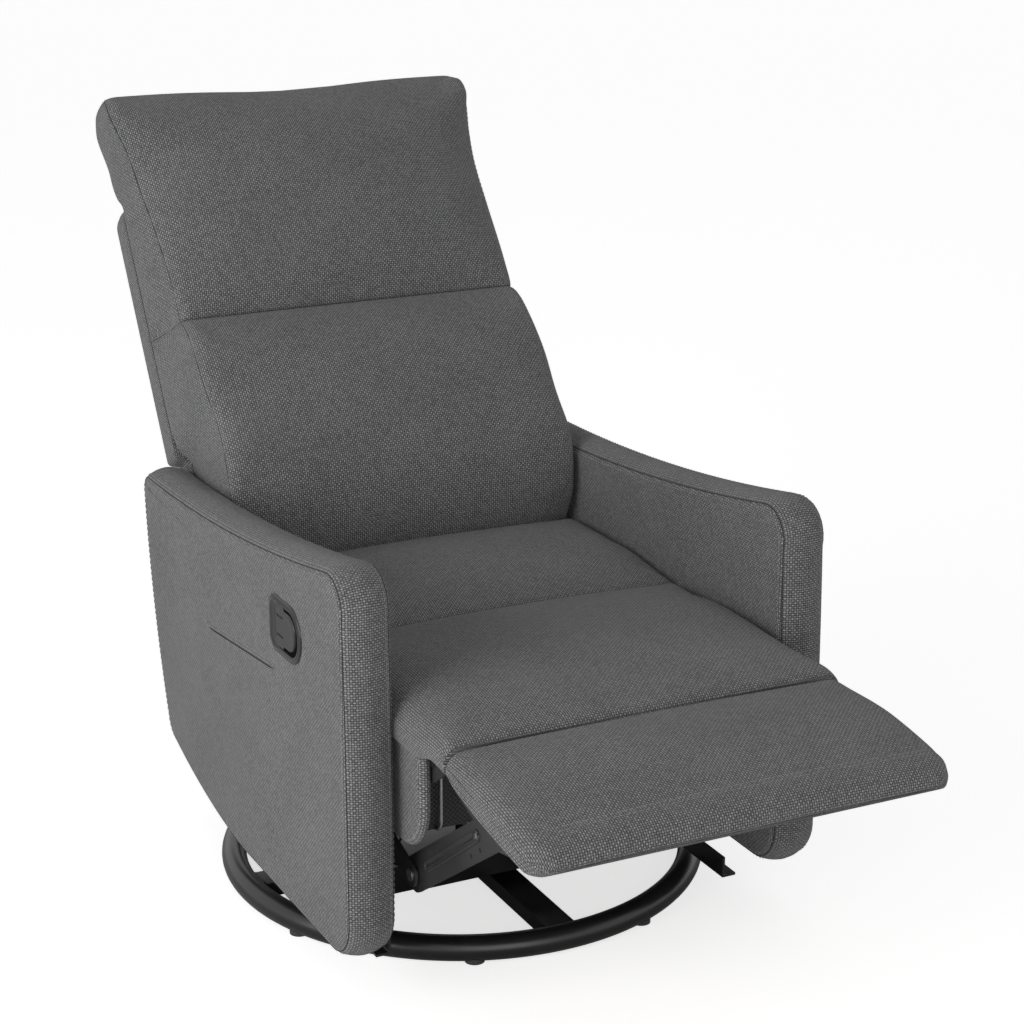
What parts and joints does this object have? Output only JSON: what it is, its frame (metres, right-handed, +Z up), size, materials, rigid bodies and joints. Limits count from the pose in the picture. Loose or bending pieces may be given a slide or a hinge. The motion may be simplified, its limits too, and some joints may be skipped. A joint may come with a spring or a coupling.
{
  "type": "swivel rocker recliner",
  "caption": "Upholstered recliner on a round swivel base that turns and rocks, with a pull handle in one arm, a leaning back and a fold-out footrest on a linkage.",
  "frame": {"origin": "on the floor, on the swivel axis", "axes": "+Z up along the swivel axis, -Y the way the sitter faces, +X to the sitter's left"},
  "size_m": [0.666, 1.376, 0.9925],
  "materials": {
    "weave": "coarse woven upholstery",
    "black_cloth": "thin black mesh",
    "timber": "plain",
    "black_coat": "gloss powder coat",
    "steel_dark": "satin",
    "bright_steel": "zinc plated",
    "black_plastic": "gloss",
    "glide": "matte",
    "cable": "grey sheath"
  },
  "bodies": {
    "base": {"base_ring": "black_coat", "base_cross_bar": "black_coat", "base_spokes": "black_coat", "floor_glides": "glide", "swivel_lower_plate": "black_coat", "swivel_race_lower": "bright_steel", "swivel_balls": "bright_steel", "swivel_stud": "bright_steel", "swivel_nut": "bright_steel"},
    "turning_frame": {"swivel_race_upper": "bright_steel", "swivel_upper_plate": "steel_dark", "rail_left": "black_coat", "rail_right": "black_coat", "cross_rail_front": "black_coat", "cross_rail_rear": "black_coat", "rocker_brackets": "black_coat", "rocker_pins": "bright_steel", "rocker_springs_front": "bright_steel", "rocker_springs_rear": "bright_steel"},
    "chassis": {"chassis_plates": "steel_dark", "rocker_bushings": "black_plastic", "chassis_cross_front": "steel_dark", "chassis_cross_rear": "steel_dark", "arm_mounts": "timber", "seat_guide_pins": "bright_steel", "arm_boards": "timber", "arm_pad_left": "weave", "arm_pad_right": "weave", "handle_bezel": "black_plastic", "handle_pin": "bright_steel"},
    "lever": {"handle_lever": "black_plastic"},
    "seat": {"seat_plates": "steel_dark", "seat_panel_left": "weave", "seat_panel_right": "weave", "seat_front_rail": "timber", "seat_rear_rail": "timber", "seat_deck": "timber", "seat_webbing": "black_cloth", "dust_cover": "black_cloth", "seat_bar": "steel_dark", "latch_box": "black_plastic", "release_cable": "cable", "seat_pins": "bright_steel", "seat_cushion": "weave"},
    "back": {"back_frame": "timber", "back_brackets": "steel_dark", "back_shell": "weave", "lumbar_cushion": "weave", "headrest_cushion": "weave"},
    "footrest": {"footrest_board": "timber", "footrest_brackets": "steel_dark", "calf_pad": "weave", "foot_pad": "weave", "crank_pins": "bright_steel"},
    "rear_links": {"rear_link_left": "steel_dark", "rear_link_right": "steel_dark", "torque_tube": "steel_dark", "elbow_pins": "bright_steel"},
    "front_links": {"front_link_left": "steel_dark", "front_link_right": "steel_dark"}
  },
  "joints": [
    {"name": "swivel", "type": "hinge", "parent": "base", "child": "turning_frame", "pos_m": [0, 0, 0.03], "axis": [0, 0, 1], "continuous": true},
    {"name": "rock", "type": "hinge", "parent": "turning_frame", "child": "chassis", "pos_m": [0, 0, 0.12], "axis": [1, 0, 0], "range_deg": [-8, 4], "stiffness_Nm_per_rad": 1000, "deforming": ["rocker_springs_front", "rocker_springs_rear"]},
    {"name": "handle_pull", "type": "hinge", "parent": "chassis", "child": "lever", "pos_m": [-0.325, -0.1685, 0.453], "axis": [0, 0, -1], "range_deg": [0, 25], "stiffness_Nm_per_rad": 0.6, "springref_deg": -11.46},
    {"name": "seat_slide", "type": "slide", "parent": "chassis", "child": "seat", "axis": [0, 1, 0], "range_m": [0, 0.0652]},
    {"name": "recline", "type": "hinge", "parent": "seat", "child": "back", "pos_m": [0, 0.175, 0.377], "axis": [-1, 0, 0], "range_deg": [-18, 18]},
    {"name": "footrest_fold", "type": "hinge", "parent": "seat", "child": "footrest", "pos_m": [0, -0.455, 0.362], "axis": [1, 0, 0], "range_deg": [0, 83]},
    {"name": "rear_link_swing", "type": "hinge", "parent": "seat", "child": "rear_links", "pos_m": [0, -0.23, 0.21], "axis": [1, 0, 0], "range_deg": [-0.2, 83.2]},
    {"name": "front_link_swing", "type": "hinge", "parent": "footrest", "child": "front_links", "pos_m": [0, -0.578, 0.324], "axis": [1, 0, 0], "range_deg": [-83.2, 0.2]}
  ],
  "couplings": [
    {"joint": "seat_slide", "follows": "footrest_fold", "m_per_rad": 0.04487},
    {"joint": "rear_link_swing", "follows": "footrest_fold", "ratio": 1},
    {"joint": "front_link_swing", "follows": "footrest_fold", "ratio": -1}
  ]
}
